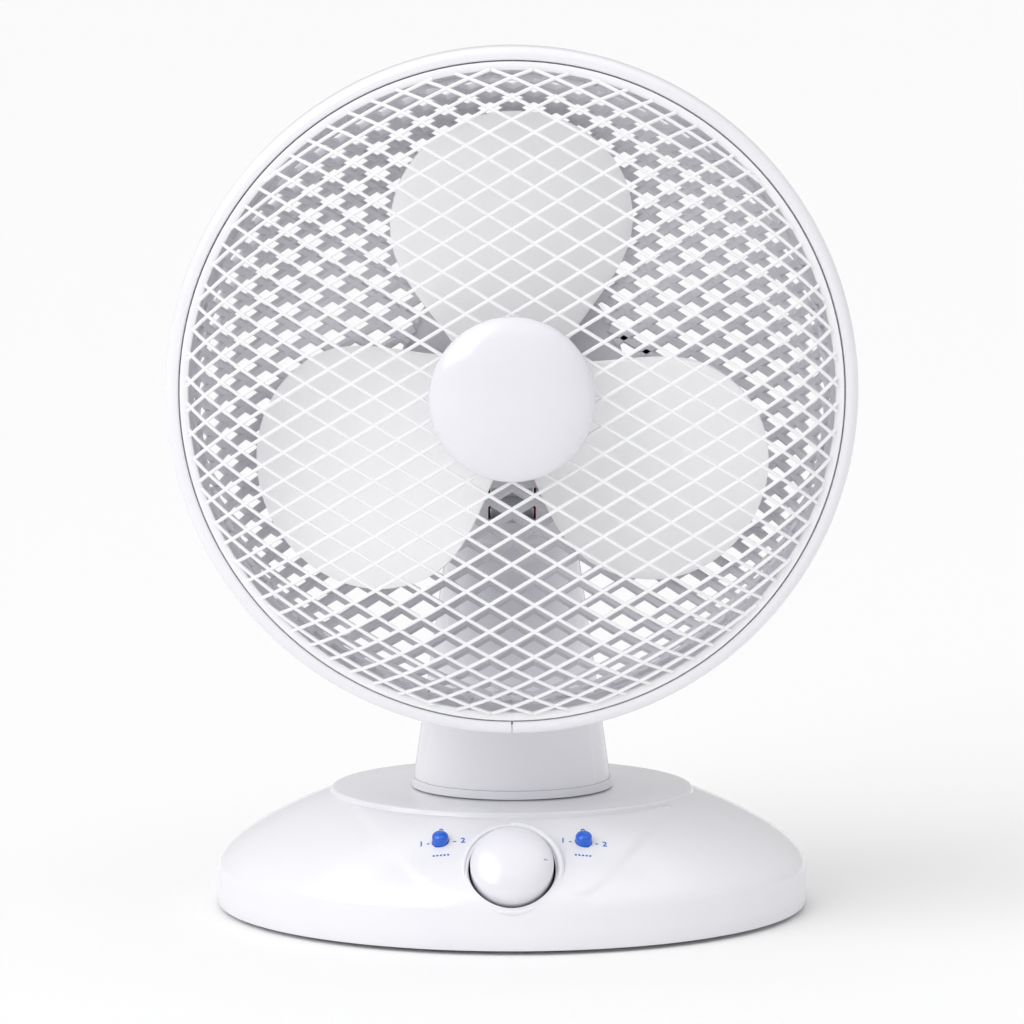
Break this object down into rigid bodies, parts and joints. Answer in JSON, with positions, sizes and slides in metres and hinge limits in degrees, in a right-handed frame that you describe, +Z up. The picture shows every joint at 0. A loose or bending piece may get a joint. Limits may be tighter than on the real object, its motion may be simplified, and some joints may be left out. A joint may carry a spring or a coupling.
{
  "type": "table fan",
  "caption": "Oscillating white table fan: guarded petal blades and motor on a tilting head, tapering swivel neck, oval base with a domed control knob.",
  "frame": {"origin": "on the floor, under the axis that the neck swivels about, between the rubber feet", "axes": "+Z up along the swivel axis; -Y is the way the fan faces and blows; +X is the right-hand side seen from the front"},
  "size_m": [0.28, 0.2156, 0.37],
  "materials": {
    "white_gloss_abs": "glossy injection-moulded ABS",
    "white_satin_pp": "satin injection-moulded polypropylene",
    "blue_gloss_abs": "glossy injection-moulded ABS",
    "black_rubber": "matt moulded rubber",
    "zinc_steel": "zinc-plated steel",
    "cast_weight": "as cast, oiled",
    "black_plastic": "moulded phenolic or nylon",
    "natural_acetal": "moulded acetal",
    "green_board": "FR4 board",
    "alloy": "die-cast aluminium",
    "lamination_steel": "stacked electrical steel",
    "copper_winding": "enamelled copper",
    "sintered_bronze": "sintered bronze",
    "ground_steel": "ground steel",
    "fibre": "vulcanised fibre"
  },
  "bodies": {
    "base": {"base_shell": "white_gloss_abs", "base_plate": "white_satin_pp", "rubber_feet": "black_rubber", "base_screws": "zinc_steel", "ballast_weight": "cast_weight", "ballast_screws": "zinc_steel", "cable_gland": "black_rubber", "run_capacitor": "black_plastic", "terminal_block": "white_satin_pp", "rotary_switch": "black_plastic", "button_boards": "green_board", "tact_switches": "black_plastic", "gearmotor": "zinc_steel", "gearmotor_screws": "zinc_steel", "swivel_washer": "natural_acetal"},
    "knob": {"control_knob": "white_gloss_abs", "switch_shaft": "natural_acetal"},
    "left_button": {"oscillation_button": "blue_gloss_abs"},
    "right_button": {"speed_button": "blue_gloss_abs"},
    "pinion": {"drive_pinion": "natural_acetal", "gearmotor_shaft": "ground_steel"},
    "neck": {"turntable": "white_gloss_abs", "drive_sector": "natural_acetal", "sector_screws": "zinc_steel", "neck_post": "white_satin_pp", "post_screws": "zinc_steel", "neck_front_shell": "white_gloss_abs", "neck_rear_shell": "white_gloss_abs", "neck_screws": "zinc_steel", "tilt_bolt": "zinc_steel", "tilt_nut": "zinc_steel", "tilt_washers": "fibre"},
    "head": {"tilt_lug": "alloy", "lug_screws": "zinc_steel", "motor_rear_housing": "white_gloss_abs", "housing_screws": "zinc_steel", "motor_front_housing": "white_gloss_abs", "front_housing_screws": "zinc_steel", "motor_rear_bracket": "alloy", "motor_front_bracket": "alloy", "stator_core": "lamination_steel", "stator_windings": "copper_winding", "through_bolts": "zinc_steel", "rear_bushing": "sintered_bronze", "front_bushing": "sintered_bronze", "rear_guard": "white_satin_pp", "guard_nut": "white_satin_pp", "front_guard": "white_satin_pp", "hub_cap": "white_gloss_abs", "guard_ring": "white_gloss_abs", "ring_screw": "zinc_steel"},
    "rotor": {"motor_shaft": "ground_steel", "rotor_core": "lamination_steel", "shaft_washers": "fibre", "drive_pin": "ground_steel", "fan_blades": "white_satin_pp", "blade_nut": "white_satin_pp"}
  },
  "joints": [
    {"name": "oscillation", "type": "hinge", "parent": "base", "child": "neck", "pos_m": [0, 0, 0.05], "axis": [0, 0, 1], "range_deg": [-35, 35]},
    {"name": "pinion_spin", "type": "hinge", "parent": "base", "child": "pinion", "pos_m": [0, 0.0375, 0.045], "axis": [0, 0, 1], "range_deg": [-145, 145]},
    {"name": "head_tilt", "type": "hinge", "parent": "neck", "child": "head", "pos_m": [0, 0, 0.172], "axis": [-1, 0, 0], "range_deg": [-10, 25]},
    {"name": "blade_spin", "type": "hinge", "parent": "head", "child": "rotor", "pos_m": [0, -0.05, 0.23], "axis": [0, -1, 0], "continuous": true},
    {"name": "knob_turn", "type": "hinge", "parent": "base", "child": "knob", "pos_m": [0, -0.085, 0.0335], "axis": [0, -0.766, 0.6428], "range_deg": [-90, 90]},
    {"name": "oscillation_press", "type": "slide", "parent": "base", "child": "left_button", "axis": [0, 0.454, -0.891], "range_m": [0, 0.0012], "stiffness_N_per_m": 800},
    {"name": "speed_press", "type": "slide", "parent": "base", "child": "right_button", "axis": [0, 0.454, -0.891], "range_m": [0, 0.0012], "stiffness_N_per_m": 800}
  ],
  "couplings": [
    {"joint": "pinion_spin", "follows": "oscillation", "ratio": -4}
  ]
}
